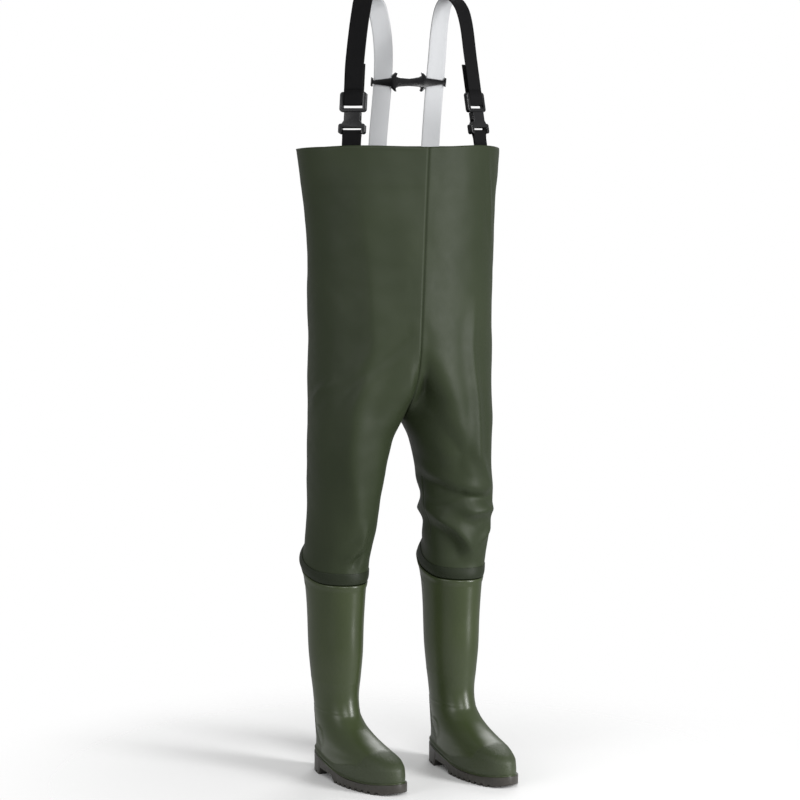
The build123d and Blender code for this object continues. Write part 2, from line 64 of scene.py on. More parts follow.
def steady(stops, values, t):
    # value on a smooth curve through the stops, with no overshoot
    def secant(k):
        return (values[k + 1] - values[k]) / (stops[k + 1] - stops[k])

    def slope(k):
        if k == 0:
            return secant(0)
        if k == len(stops) - 1:
            return secant(k - 1)
        before, after = secant(k - 1), secant(k)
        return 0.0 if before * after <= 0 else 2 * before * after / (before + after)

    t = max(stops[0], min(stops[-1], t))
    k = max(i for i in range(len(stops) - 1) if stops[i] <= t)
    span = stops[k + 1] - stops[k]
    s = (t - stops[k]) / span
    return (
        values[k] * (1 + 2 * s) * (1 - s) ** 2
        + values[k + 1] * s * s * (3 - 2 * s)
        + slope(k) * span * s * (1 - s) ** 2
        - slope(k + 1) * span * s * s * (1 - s)
    )


def ease(low, high, t):
    s = max(0.0, min(1.0, (t - low) / (high - low)))
    return s * s * (3 - 2 * s)


def gridMesh(name, across, along, place, uvScale=None, attribute=None):
    # a grid of across by along faces, each vertex put where place(u, v) says
    bm = bmesh.new()
    bmesh.ops.create_grid(bm, x_segments=across, y_segments=along, size=0.5)
    uv = bm.loops.layers.uv.new("cloth") if uvScale else None
    mark = bm.verts.layers.float.new(attribute[0]) if attribute else None
    for face in bm.faces:
        face.smooth = True
        for loop in face.loops:
            if uv:
                x, y = loop.vert.co.x + 0.5, loop.vert.co.y + 0.5
                loop[uv].uv = (x * uvScale[0], y * uvScale[1])
    for vert in bm.verts:
        u, v = vert.co.x + 0.5, vert.co.y + 0.5
        vert.co = place(u, v)
        if mark:
            vert[mark] = attribute[1](u, v, vert.co)
    bmesh.ops.remove_doubles(bm, verts=bm.verts, dist=1e-5)
    return finishMesh(name, bm)


def finishMesh(name, bm):
    mesh = bpy.data.meshes.new(name)
    bm.to_mesh(mesh)
    bm.free()
    piece = bpy.data.objects.new(name, mesh)
    scene.collection.objects.link(piece)
    return piece


def turnOut(piece, centre):
    # flips the faces of an open sheet whose normals point at its own centre line
    mesh = piece.data
    vote = sum(p.normal.dot(p.center - centre(p.center)) * p.area for p in mesh.polygons)
    if vote < 0:
        mesh.flip_normals()


def addMaterials(piece, *materials):
    piece.data.materials.clear()
    for material in materials:
        piece.data.materials.append(material)


def thicken(piece, thickness, offset=-1.0, inner=0, rim=0):
    wall = piece.modifiers.new("wall", "SOLIDIFY")
    wall.thickness = thickness
    wall.offset = offset
    wall.use_even_offset = True
    wall.material_offset = inner
    wall.material_offset_rim = rim
    return wall


def nodeSetup(name):
    material = bpy.data.materials.new(name)
    material.use_nodes = True
    tree = material.node_tree
    shader = tree.nodes["Principled BSDF"]
    return material, tree, shader


def add(tree, kind, **values):
    node = tree.nodes.new(kind)
    for key, value in values.items():
        if hasattr(node, key):
            setattr(node, key, value)
        else:
            node.inputs[key.replace("_", " ")].default_value = value
    return node


def mathNode(tree, operation, first, second=None, clamp=False):
    node = tree.nodes.new("ShaderNodeMath")
    node.operation = operation
    node.use_clamp = clamp
    for index, value in enumerate((first, second)):
        if value is None:
            continue
        if isinstance(value, (int, float)):
            node.inputs[index].default_value = value
        else:
            tree.links.new(value, node.inputs[index])
    return node.outputs[0]


def mixColour(tree, factor, first, second):
    node = tree.nodes.new("ShaderNodeMix")
    node.data_type = "RGBA"
    for index, value in ((0, factor), (6, first), (7, second)):
        if isinstance(value, (int, float)):
            node.inputs[index].default_value = value
        elif isinstance(value, tuple):
            node.inputs[index].default_value = (*value, 1.0)
        else:
            tree.links.new(value, node.inputs[index])
    return node.outputs[2]


def makeMottleGroup():
    # cloudy variation of tone: a mask from 0 to 1 and a finer one for roughness
    group = bpy.data.node_groups.new("mottle", "ShaderNodeTree")
    group.interface.new_socket("Scale", in_out="INPUT", socket_type="NodeSocketFloat")
    group.interface.new_socket("Broad", in_out="OUTPUT", socket_type="NodeSocketFloat")
    group.interface.new_socket("Fine", in_out="OUTPUT", socket_type="NodeSocketFloat")
    start = group.nodes.new("NodeGroupInput")
    end = group.nodes.new("NodeGroupOutput")
    coords = group.nodes.new("ShaderNodeTexCoord")
    for index, factor in enumerate((1.0, 9.0)):
        cloud = add(group, "ShaderNodeTexNoise", Detail=4.0, Roughness=0.55)
        scale = mathNode(group, "MULTIPLY", start.outputs["Scale"], factor)
        group.links.new(coords.outputs["Object"], cloud.inputs["Vector"])
        group.links.new(scale, cloud.inputs["Scale"])
        group.links.new(cloud.outputs["Fac"], end.inputs[index])
    return group


def makeWeaveGroup():
    # plain weave on the piece's own UV map, which is in metres: over and under threads
    group = bpy.data.node_groups.new("weave", "ShaderNodeTree")
    group.interface.new_socket("Threads", in_out="INPUT", socket_type="NodeSocketFloat")
    group.interface.new_socket("Height", in_out="OUTPUT", socket_type="NodeSocketFloat")
    start = group.nodes.new("NodeGroupInput")
    end = group.nodes.new("NodeGroupOutput")
    coords = group.nodes.new("ShaderNodeUVMap")
    coords.uv_map = "cloth"
    split = group.nodes.new("ShaderNodeSeparateXYZ")
    group.links.new(coords.outputs["UV"], split.inputs[0])
    waves = []
    for axis in (0, 1):
        turns = mathNode(group, "MULTIPLY", split.outputs[axis], start.outputs["Threads"])
        waves.append(mathNode(group, "SINE", mathNode(group, "MULTIPLY", turns, pi)))
    over = mathNode(group, "MULTIPLY", waves[0], waves[1])
    ribs = mathNode(group, "ABSOLUTE", waves[0])
    height = mathNode(group, "ADD", mathNode(group, "MULTIPLY", over, 0.35), ribs)
    group.links.new(height, end.inputs[0])
    return group


mottle = makeMottleGroup()
weave = makeWeaveGroup()


def placeGroup(tree, group, **values):
    node = tree.nodes.new("ShaderNodeGroup")
    node.node_tree = group
    for key, value in values.items():
        node.inputs[key].default_value = value
    return node


def bumpFrom(tree, shader, height, strength, distance):
    bump = add(tree, "ShaderNodeBump", Strength=strength, Distance=distance)
    tree.links.new(height, bump.inputs["Height"])
    tree.links.new(bump.outputs["Normal"], shader.inputs["Normal"])


fabricFinish = {
    "dark": (0.0175, 0.0250, 0.0105),
    "light": (0.0300, 0.0400, 0.0185),
    # the next two are the fabric's tones darkened to about 0.6: painted shade for the cuff band, the
    # patches and the seam tapes
    "paintedShadeDark": (0.0105, 0.0150, 0.0065),
    "paintedShadeLight": (0.0165, 0.0225, 0.0105),
    "roughness": 0.50,
}


def coatedFabric(name, dark, light, roughness):
    # a matt-satin coating: faint cloudy tone, orange-peel grain and the threads under it
    material, tree, shader = nodeSetup(name)
    clouds = placeGroup(tree, mottle, Scale=6.0)
    colour = mixColour(tree, clouds.outputs["Broad"], dark, light)
    tree.links.new(colour, shader.inputs["Base Color"])
    rough = mathNode(tree, "MULTIPLY", clouds.outputs["Fine"], 0.16)
    rough = mathNode(tree, "ADD", rough, roughness - 0.08)
    tree.links.new(rough, shader.inputs["Roughness"])
    shader.inputs["Specular IOR Level"].default_value = 0.26
    coords = tree.nodes.new("ShaderNodeTexCoord")
    grain = add(tree, "ShaderNodeTexNoise", Scale=900.0, Detail=2.0)
    tree.links.new(coords.outputs["Object"], grain.inputs["Vector"])
    threads = placeGroup(tree, weave, Threads=1400.0)
    height = mathNode(tree, "MULTIPLY", threads.outputs["Height"], 0.35)
    height = mathNode(tree, "ADD", height, grain.outputs["Fac"])
    bumpFrom(tree, shader, height, 0.12, 0.0006)
    return material


bootFinish = {
    "dark": (0.026, 0.037, 0.013),
    "light": (0.042, 0.056, 0.021),
    "roughness": 0.33,
    "stippleScale": 420.0,
}


def bootRubber():
    # moulded satin rubber; the attribute "stipple" marks the rough toe cap and heel counter
    material, tree, shader = nodeSetup("moulded olive rubber")
    clouds = placeGroup(tree, mottle, Scale=9.0)
    marks = add(tree, "ShaderNodeAttribute", attribute_name="stipple")
    colour = mixColour(tree, clouds.outputs["Broad"], bootFinish["dark"], bootFinish["light"])
    share = mathNode(tree, "MULTIPLY", marks.outputs["Fac"], 0.35)
    colour = mixColour(tree, share, colour, (0.012, 0.018, 0.006))
    tree.links.new(colour, shader.inputs["Base Color"])
    rough = mathNode(tree, "MULTIPLY", clouds.outputs["Fine"], 0.10)
    rough = mathNode(tree, "ADD", rough, bootFinish["roughness"] - 0.05)
    rough = mathNode(tree, "ADD", rough, mathNode(tree, "MULTIPLY", marks.outputs["Fac"], 0.2))
    tree.links.new(rough, shader.inputs["Roughness"])
    coords = tree.nodes.new("ShaderNodeTexCoord")
    pebble = add(tree, "ShaderNodeTexVoronoi", Scale=bootFinish["stippleScale"])
    pebble.feature = "SMOOTH_F1"
    tree.links.new(coords.outputs["Object"], pebble.inputs["Vector"])
    grain = add(tree, "ShaderNodeTexNoise", Scale=300.0, Detail=3.0)
    tree.links.new(coords.outputs["Object"], grain.inputs["Vector"])
    rough = mathNode(tree, "MULTIPLY", pebble.outputs["Distance"], marks.outputs["Fac"])
    height = mathNode(tree, "ADD", rough, mathNode(tree, "MULTIPLY", grain.outputs["Fac"], 0.04))
    bumpFrom(tree, shader, height, 0.55, 0.0011)
    return material


def soleRubber():
    material, tree, shader = nodeSetup("dark sole rubber")
    clouds = placeGroup(tree, mottle, Scale=30.0)
    colour = mixColour(tree, clouds.outputs["Broad"], (0.017, 0.015, 0.012), (0.040, 0.036, 0.029))
    tree.links.new(colour, shader.inputs["Base Color"])
    shader.inputs["Roughness"].default_value = 0.5
    bumpFrom(tree, shader, clouds.outputs["Fine"], 0.3, 0.0008)
    return material


def blackPlastic():
    material, tree, shader = nodeSetup("glossy black plastic")
    clouds = placeGroup(tree, mottle, Scale=60.0)
    colour = mixColour(tree, clouds.outputs["Broad"], (0.003, 0.003, 0.0035), (0.006, 0.006, 0.007))
    tree.links.new(colour, shader.inputs["Base Color"])
    rough = mathNode(tree, "MULTIPLY", clouds.outputs["Fine"], 0.14)
    tree.links.new(mathNode(tree, "ADD", rough, 0.17), shader.inputs["Roughness"])
    bumpFrom(tree, shader, clouds.outputs["Fine"], 0.08, 0.0003)
    return material


def webbingCloth(name, dark, light):
    # flat woven elastic: fine ribs along it and a tight weave
    material, tree, shader = nodeSetup(name)
    threads = placeGroup(tree, weave, Threads=900.0)
    # the tone follows the weave's height, light on the threads' tops and dark between them: painted shade
    # in the weave
    shade = mathNode(tree, "MULTIPLY", threads.outputs["Height"], 0.7, clamp=True)
    tree.links.new(mixColour(tree, shade, dark, light), shader.inputs["Base Color"])
    shader.inputs["Roughness"].default_value = 0.75
    shader.inputs["Specular IOR Level"].default_value = 0.1
    bumpFrom(tree, shader, threads.outputs["Height"], 0.5, 0.0005)
    return material


def felt():
    material, tree, shader = nodeSetup("grey felt")
    clouds = placeGroup(tree, mottle, Scale=120.0)
    colour = mixColour(tree, clouds.outputs["Fine"], (0.09, 0.09, 0.085), (0.19, 0.19, 0.18))
    tree.links.new(colour, shader.inputs["Base Color"])
    shader.inputs["Roughness"].default_value = 0.95
    bumpFrom(tree, shader, clouds.outputs["Fine"], 0.5, 0.001)
    return material


olive = coatedFabric(
    "olive coated fabric", fabricFinish["dark"], fabricFinish["light"], fabricFinish["roughness"]
)
# a darker copy of the olive fabric: painted shade on the cuff band under the bulge over the boot's edge,
# and on the patches and seam tapes inside the garment
shadedOlive = coatedFabric(
    "olive fabric in painted shade", fabricFinish["paintedShadeDark"], fabricFinish["paintedShadeLight"], fabricFinish["roughness"]
)
bootOlive = bootRubber()
soleBlack = soleRubber()
plastic = blackPlastic()
webBlack = webbingCloth("black webbing", (0.002, 0.002, 0.002), (0.010, 0.010, 0.011))
webWhite = webbingCloth("white webbing back", (0.50, 0.51, 0.53), (0.78, 0.79, 0.80))
feltGrey = felt()
print("materials made")


garment = {
    # height, outermost x, x of the section's middle, reach forward and back, set back
    "levels": [
        (0.340, 0.1705, 0.1230, 0.065, 0.065, 0.044),
        (0.396, 0.1740, 0.1235, 0.068, 0.068, 0.043),
        (0.440, 0.1850, 0.1245, 0.075, 0.075, 0.036),
        (0.520, 0.1885, 0.1215, 0.084, 0.084, 0.022),
        (0.600, 0.1880, 0.1150, 0.094, 0.094, 0.012),
        (0.680, 0.1875, 0.1060, 0.106, 0.106, 0.001),
        (0.730, 0.1875, 0.0940, 0.115, 0.115, 0.0),
        (0.758, 0.1870, 0.0860, 0.120, 0.121, 0.0),
        (0.790, 0.1870, 0.0700, 0.127, 0.128, 0.0),
        (0.835, 0.1870, 0.0420, 0.135, 0.134, 0.0),
        (0.890, 0.1870, 0.0120, 0.143, 0.139, 0.0),
        (0.988, 0.1880, 0.0, 0.148, 0.140, 0.0),
        (1.120, 0.1940, 0.0, 0.152, 0.139, 0.0),
        (1.268, 0.2040, 0.0, 0.156, 0.140, 0.0),
    ],
    "rimZ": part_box("right_body_panel")[1].z,
    "hipZ": 0.890,
    "crotchZ": 0.738,
    "endZ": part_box("right_lower_leg")[0].z,
    "kneeZ": (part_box("right_knee_section")[0].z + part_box("right_knee_section")[1].z) / 2,
    "kneeReach": (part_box("right_knee_section")[1].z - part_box("right_knee_section")[0].z) / 2,
    "frontHang": 0.011,
    "backHang": 0.046,
    "facing": 0.078,
    "flare": 0.009,
    "wall": 0.0011,
    "around": 120,
    "rows": 260,
}

# Folds: side (0 for both), width, height (negative for a valley), then points of
# (degrees round the section, height). -90 is the front, 0 the outer side, 90 the back.
folds = [
    (1, 0.010, 0.0030, [(-44, 1.255), (-37, 1.17), (-30, 1.085)]),
    (1, 0.013, 0.0055, [(-50, 0.96), (-55, 0.886), (-63, 0.789), (-71, 0.657), (-52, 0.600)]),
    (1, 0.014, -0.0085, [(-184, 0.606), (-150, 0.590), (-118, 0.578)]),
    (1, 0.013, -0.0095, [(-162, 0.546), (-110, 0.569), (-62, 0.562), (-40, 0.566)]),
    (1, 0.012, 0.0065, [(-118, 0.526), (-97, 0.541), (-64, 0.546), (-44, 0.540)]),
    (1, 0.015, 0.0100, [(-184, 0.548), (-128, 0.506), (-95, 0.456)]),
    (1, 0.020, -0.0080, [(-170, 0.505), (-135, 0.468), (-120, 0.440)]),
    (1, 0.009, 0.0045, [(-76, 0.474), (-48, 0.504)]),
    (1, 0.030, -0.0280, [(-104, 0.900), (-113, 0.84), (-124, 0.79), (-138, 0.745)]),
    (1, 0.020, -0.0050, [(-118, 0.72), (-100, 0.66), (-112, 0.62)]),
    (-1, 0.022, 0.0055, [(-52, 1.20), (-60, 0.95), (-70, 0.741), (-81, 0.542), (-96, 0.470)]),
    (-1, 0.008, -0.0055, [(-97, 0.458), (-84, 0.432)]),
    (-1, 0.010, 0.0040, [(-100, 0.520), (-92, 0.476), (-70, 0.452)]),
    (-1, 0.010, 0.0045, [(-35, 0.809), (-8, 0.770)]),
    (-1, 0.028, 0.0075, [(-104, 0.86), (-112, 0.80), (-128, 0.748)]),
    (-1, 0.016, -0.0035, [(-85, 0.90), (-66, 0.83), (-50, 0.78)]),
    (0, 0.018, -0.0060, [(60, 0.800), (95, 0.770), (140, 0.752)]),
    (0, 0.016, -0.0075, [(84, 0.575), (110, 0.560), (150, 0.572)]),
    (0, 0.013, 0.0060, [(78, 0.545), (110, 0.528), (160, 0.540)]),
    (0, 0.014, -0.0060, [(82, 0.512), (110, 0.500), (150, 0.508)]),
    (0, 0.016, 0.0050, [(70, 1.10), (66, 0.96), (78, 0.85), (92, 0.70)]),
    (0, 0.020, -0.0040, [(35, 1.16), (30, 1.0), (24, 0.86)]),
    (0, 0.007, 0.0012, [(-88, 1.215), (-88, 1.190)]),
    (0, 0.008, 0.0014, [(-88, 1.120), (-88, 1.090)]),
    (0, 0.007, 0.0013, [(-88, 1.066), (-88, 1.048)]),
    (0, 0.007, 0.0012, [(-88, 1.020), (-88, 0.985)]),
    (0, 0.007, 0.0012, [(-88, 0.940), (-88, 0.915)]),
]


def levelAt(z):
    stops = [row[0] for row in garment["levels"]]
    return [steady(stops, [row[k] for row in garment["levels"]], z) for k in range(1, 6)]


levelStep = 0.002
levelTable = [levelAt(0.33 + levelStep * k) for k in range(480)]


def quickLevel(z):
    place = max(0.0, min(478.0, (z - 0.33) / levelStep))
    k = floor(place)
    share = place - k
    return [a * (1 - share) + b * share for a, b in zip(levelTable[k], levelTable[k + 1])]


def hang(y, z):
    front, back = 0.156, 0.140
    square = (garment["backHang"] / back + garment["frontHang"] / front) / (back + front)
    linear = garment["backHang"] / back - square * back
    rise = max(0.0, min(1.0, (z - garment["hipZ"]) / (garment["rimZ"] - garment["hipZ"])))
    return rise * (linear * y + square * y * y)


def skin(side, angle, z, out=0.0):
    outer, middle, front, back, behind = quickLevel(z)
    y = ((front if angle < 0 else back) + out) * sin(angle)
    x = side * (middle + (outer - middle + out) * cos(angle)) + hang(y, z)
    if side < 0:
        x -= garment["flare"] * ease(1.02, garment["rimZ"], z) ** 2 * max(0.0, cos(angle))
    y += behind
    # the leg turns with its boot, about the axis of the boot's shaft
    share = max(0.0, min(1.0, (boot["turnHigh"] - z) / (boot["turnHigh"] - boot["turnLow"])))
    turn = boot["turn"] * share * share * (3 - 2 * share)
    if turn:
        x, y = x - side * boot["x"], y - boot["y"]
        x, y = x * cos(turn) - y * sin(turn), x * sin(turn) + y * cos(turn)
        x, y = x + side * boot["x"], y + boot["y"]
    return Vector((x, y + axisY, z))


def spanAt(z):
    outer, middle = quickLevel(z)[:2]
    return acos(max(-1.0, -middle / (outer - middle)))


def foldAt(side, angle, z):
    # how far the cloth stands out of its smooth form, in metres
    total = 0.0
    outer, middle, front, back = quickLevel(z)[:4]
    reach = (outer - middle + (front + back) / 2) / 2
    legShare = ease(garment["crotchZ"] + 0.06, garment["crotchZ"] - 0.02, z)
    for which, width, height, points in folds:
        if which and which != side:
            continue
        lowZ, highZ = min(p[1] for p in points), max(p[1] for p in points)
        if z < lowZ - 4 * width or z > highZ + 4 * width:
            continue
        nearest, along = 9.0, 0.0
        runs = len(points) - 1
        for k in range(runs):
            (a0, z0), (a1, z1) = points[k], points[k + 1]
            a0, a1 = radians(a0) * reach, radians(a1) * reach
            here = angle * reach
            if legShare > 0.5 and here - (a0 + a1) / 2 > pi * reach:
                here -= 2 * pi * reach
            dx, dz = a1 - a0, z1 - z0
            t = ((here - a0) * dx + (z - z0) * dz) / (dx * dx + dz * dz)
            t = max(0.0, min(1.0, t))
            gap = sqrt((here - a0 - dx * t) ** 2 + (z - z0 - dz * t) ** 2)
            if gap < nearest:
                nearest, along = gap, (k + t) / runs
        if nearest > 3.5 * width:
            continue
        taper = sin(pi * (0.06 + 0.88 * along)) ** 0.7
        crest = exp(-((nearest / width) ** 2) ** 0.8)
        flank = exp(-(((nearest - 1.9 * width) / width) ** 2))
        total += height * taper * (crest - 0.28 * flank)
    return total


def clothOffset(side, angle, z):
    # folds, soft unevenness, and the bulge where the leg stands over the boot's edge
    spot = skin(side, angle, z)
    rough = noise.noise(spot * 9.0 + Vector((3.1, 7.7, 0.4))) * 0.0030
    rough += noise.noise(spot * 26.0 + Vector((1.0, 2.0, 3.0))) * 0.0009
    offset = foldAt(side, angle, z) + rough
    above = z - bootEdge(ownY(side, spot))
    bulge = 0.0064 + 0.0020 * max(0.0, -sin(angle)) + 0.0085 * max(0.0, sin(angle)) ** 2
    bulge *= exp(-(((above - 0.010) / 0.021) ** 2))
    calm = ease(-0.003, 0.004, above)
    offset = offset * ease(-0.004, 0.03, above) + bulge * calm
    if z > garment["crotchZ"]:
        span = spanAt(z)
        quiet = min(abs(angle + span), abs(angle - span)) * 0.15
        offset *= ease(0.0, 0.022, quiet) * 0.92 + 0.08
        rim = ease(garment["rimZ"] - 0.006, garment["rimZ"], z)
        offset *= 1 - 0.6 * rim
    return offset


def skinNormal(side, angle, z):
    step = 0.004
    around = skin(side, angle + step, z) - skin(side, angle - step, z)
    up = skin(side, angle, z + step) - skin(side, angle, z - step)
    normal = around.cross(up) * -side
    outward = skin(side, angle, z, 0.01) - skin(side, angle, z)
    normal.normalize()
    return normal if normal.dot(outward) > 0 else -normal


def clothPoint(side, angle, z, out=0.0):
    normal = skinNormal(side, angle, z)
    z0 = z
    if z > garment["crotchZ"] + 0.01 and abs(abs(angle) - spanAt(z)) < 1e-4:
        normal.x = 0.0  # the two halves stay joined along the centre
    point = skin(side, angle, z0) + normal * (clothOffset(side, angle, z0) + out)
    return point


def rimHeight(angle):
    # the rim waves a little between the braces
    return 0.0035 * exp(-(((angle + 0.95) / 0.45) ** 2)) - 0.0045 * exp(-((angle / 0.5) ** 2))


def makeHalf(name, side):
    top, low = garment["rimZ"], garment["endZ"]

    def place(u, v):
        z = low + (top - low) * (0.45 * v + 0.55 * v * v)
        angle = -spanAt(z) + 2 * spanAt(z) * u
        seam = min(u, 1 - u) * 2 * spanAt(z) * 0.16
        weld = 0.0004 * ease(0.0070, 0.0045, seam) * ease(0.80, 0.86, z)
        weld += 0.0003 * ease(top - garment["facing"] - 0.002, top - garment["facing"] + 0.002, z)
        point = clothPoint(side, angle, z, weld)
        point.z += rimHeight(angle) * ease(top - 0.05, top, z)
        return point

    piece = gridMesh(
        f"{name}_waders_half", garment["around"], garment["rows"], place, uvScale=(0.55, 0.906)
    )
    turnOut(piece, lambda c: Vector((side * 0.09, axisY, c.z)))
    thicken(piece, garment["wall"])
    addMaterials(piece, olive)
    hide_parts(f"{name}_body_panel", f"{name}_knee_section", f"{name}_lower_leg")
    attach(piece, "waders")
    piece.parent = None
    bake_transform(piece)
    return piece


def makeLining(name, node, angles, heights, out, wall, material, across=90):
    # a layer of cloth on the inside of both halves, joined across the front or all round
    low, high = heights

    def place(u, v):
        z = low + (high - low) * v
        turn = angles[0] + (angles[1] - angles[0]) * u
        turn = (turn + pi) % (2 * pi) - pi
        side = -1 if turn < 0 else 1
        angle = (turn if side > 0 else -turn) - pi / 2
        span = spanAt(z)
        angle *= span / (pi / 2)
        point = clothPoint(side, angle, z, -out)
        point.z += rimHeight(angle) * ease(garment["rimZ"] - 0.05, garment["rimZ"], z)
        return point

    piece = gridMesh(name, across, 24, place, uvScale=(1.1, 0.08))
    turnOut(piece, lambda c: Vector((0, axisY, c.z)))
    thicken(piece, wall)
    addMaterials(piece, material)
    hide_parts(node)
    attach(piece, "waders")
    return piece


boot = {
    "x": 0.123,
    "y": 0.044,
    "turn": radians(15),
    "turnLow": 0.480,
    "turnHigh": 0.690,
    "wall": 0.003,
    "topFront": 0.396,
    "topBack": 0.452,
    "toe": 0.229,
    "heel": 0.061,
    "half": 0.047,
    "toeReach": 0.234,
    "heelHeight": 0.039,
    "foreHeight": 0.018,
    "spring": 0.007,
    "swing": 0.009,
    "around": 150,
    "rows": 150,
}

# height, half width, toe and heel short of full length, front fullness, toe swing share
bootRows = [
    (0.008, -0.003, -0.003, -0.001, 0.13, 1.0),
    (0.030, 0.0, 0.0, 0.0, 0.13, 1.0),
    (0.048, 0.0, -0.002, 0.0005, 0.12, 1.0),
    (0.060, -0.001, -0.012, 0.0, 0.11, 1.0),
    (0.070, -0.002, -0.035, -0.001, 0.10, 0.7),
    (0.080, -0.003, -0.070, -0.002, 0.08, 0.5),
    (0.093, -0.0045, -0.108, -0.003, 0.06, 0.3),
    (0.110, -0.006, -0.141, -0.0045, 0.03, 0.1),
    (0.132, -0.0065, -0.163, -0.006, 0.0, 0.0),
    (0.165, -0.005, -0.170, -0.004, 0.0, 0.0),
    (0.205, -0.001, -0.166, 0.002, 0.0, 0.0),
    (0.260, 0.0035, -0.160, 0.008, 0.0, 0.0),
    (0.330, 0.005, -0.157, 0.011, 0.0, 0.0),
    (0.385, 0.009, -0.153, 0.014, 0.0, 0.0),
    (0.420, 0.017, -0.1475, 0.018, 0.0, 0.0),
    (0.460, 0.025, -0.142, 0.024, 0.0, 0.0),
]


def soleJoint(y):
    stops = [-boot["toeReach"] - 0.02, -0.168, -0.098, -0.028, 0.023, 0.086]
    fore, heel = boot["foreHeight"], boot["heelHeight"]
    lifts = [fore + boot["spring"] + 0.002, fore - 0.0005, fore + 0.0015]
    return steady(stops, lifts + [heel - 0.009, heel - 0.002, heel + 0.0015], y)


def bootEdge(y):
    rise = boot["topBack"] - boot["topFront"]
    heights = [-0.002, 0.001, 0.25 * rise, 0.76 * rise, 1.42 * rise]
    return boot["topFront"] + steady([-0.115, -0.040, 0.015, 0.060, 0.115], heights, y)


def stand(side, spot):
    # from the boot's own frame, on its shaft's axis with the toe to -Y, to where it stands
    swing = boot["turn"]
    x = spot.x * cos(swing) - spot.y * sin(swing)
    y = spot.x * sin(swing) + spot.y * cos(swing)
    return Vector((x + side * boot["x"], y + boot["y"] + axisY, spot.z))


def unstand(side, spot):
    x, y = spot.x - side * boot["x"], spot.y - axisY - boot["y"]
    swing = -boot["turn"]
    back = x * sin(swing) + y * cos(swing)
    return Vector((x * cos(swing) - y * sin(swing), back, spot.z))


def ownY(side, spot):
    # how far a standing point lies behind the shaft's axis, in the boot's own frame
    return unstand(side, spot).y


def bootSkin(side, turn, z, out=0.0):
    # turn 0 is the toe, pi / 2 the +X side, in the boot's own frame
    stops = [row[0] for row in bootRows]
    half, toe, heel, full, swing = (
        steady(stops, [row[k] for row in bootRows], z) for k in range(1, 6)
    )
    half, toe, heel = boot["half"] + half + out, boot["toe"] + toe + out, boot["heel"] + heel + out
    y = (heel - toe) / 2 - (heel + toe) / 2 * cos(turn)
    x = half * sin(turn) * (1 + full * cos(turn))
    x -= side * boot["swing"] * swing * ((1 + cos(turn)) / 2) ** 2
    return Vector((x, y, z))


def stippleAt(spot):
    # rough zones: the toe cap in front of a curved line, and the heel counter
    y = spot.y
    low = spot.z - soleJoint(y)
    toeLine = -0.150 - 0.55 * max(0.0, spot.z - 0.045)
    toe = ease(toeLine + 0.002, toeLine - 0.002, y) if low < 0.09 else 0.0
    bandTop = 0.012 + 0.02 * ease(-0.04, -0.15, y)
    toe = max(toe, ease(bandTop + 0.0015, bandTop - 0.0015, low) * ease(0.03, -0.02, y))
    heelTop = 0.030 + 0.085 * ease(-0.01, 0.055, y)
    heel = ease(heelTop + 0.002, heelTop - 0.002, low) * ease(-0.006, 0.0, y)
    return max(toe, heel)


def bootRelief(side, spot, turn):
    y = spot.y
    low = spot.z - soleJoint(y)
    relief = 0.0007 * stippleAt(spot)
    padY, padZ = 0.004, 0.080
    ring = sqrt((y - padY) ** 2 + (spot.z - padZ) ** 2)
    if abs(sin(turn)) > 0.5:
        relief += 0.0011 * ease(0.024, 0.022, ring)
        relief += 0.0005 * cos(ring * 2 * pi / 0.0062) * ease(0.023, 0.020, ring)
    relief += 0.0040 * exp(-(((low - 0.008) / 0.0035) ** 2)) * ease(0.2, -0.6, cos(turn))
    for height, size in ((0.137, 0.0005), (0.196, 0.0003)):
        relief += size * exp(-(((spot.z - height - 0.06 * y) / 0.0012) ** 2))
    under = bootEdge(y) - spot.z
    relief += 0.0013 * ease(0.010, 0.007, under)
    tab = exp(-(((turn - pi - side * 1.15) / 0.16) ** 2)) + exp(-(((turn - pi + side * 1.15) / 0.16) ** 2))
    relief += 0.0016 * tab * exp(-(((under - 0.030) / 0.0022) ** 2))
    relief += 0.0009 * noise.noise(spot * 14.0)
    return relief


def makeBoot(name, side):
    def place(u, v):
        turn = 2 * pi * u
        lowY = bootSkin(side, turn, 0.030).y
        highY = bootSkin(side, turn, 0.420).y
        low, high = soleJoint(lowY) + 0.0002, bootEdge(highY)
        z = low + (high - low) * (0.45 * v + 0.55 * v * v)
        spot = bootSkin(side, turn, z)
        return stand(side, bootSkin(side, turn, z, bootRelief(side, spot, turn)))

    piece = gridMesh(
        f"{name}_boot", boot["around"], boot["rows"], place,
        attribute=("stipple", lambda u, v, spot: stippleAt(unstand(side, spot))),
    )
    turnOut(piece, lambda c: stand(side, Vector((0, min(ownY(side, c), 0.0), c.z))))
    thicken(piece, boot["wall"])
    addMaterials(piece, bootOlive)
    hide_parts(f"{name}_boot_shell")
    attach(piece, f"{name}_shin")
    return piece


def makeTube(name, points, radius, material, body):
    # a closed bead along points
    curve = bpy.data.curves.new(name, "CURVE")
    curve.dimensions = "3D"
    line = curve.splines.new("POLY")
    line.points.add(len(points) - 1)
    for knot, spot in zip(line.points, points):
        knot.co = (*spot, 1.0)
    line.use_cyclic_u = True
    curve.bevel_depth = radius
    curve.bevel_resolution = 3
    source = bpy.data.objects.new(name + "_line", curve)
    scene.collection.objects.link(source)
    bpy.context.view_layer.update()
    mesh = bpy.data.meshes.new_from_object(source.evaluated_get(bpy.context.evaluated_depsgraph_get()))
    bpy.data.objects.remove(source)
    mesh.name = name
    for face in mesh.polygons:
        face.use_smooth = True
    piece = bpy.data.objects.new(name, mesh)
    scene.collection.objects.link(piece)
    addMaterials(piece, material)
    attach(piece, body)
    return piece


def makeWelt(name, side):
    points = []
    for k in range(140):
        turn = 2 * pi * k / 140
        z = soleJoint(bootSkin(side, turn, 0.030).y) + 0.0004
        points.append(stand(side, bootSkin(side, turn, z, 0.0012)))
    return makeTube(f"{name}_welt", points, 0.0017, bootOlive, f"{name}_shin")


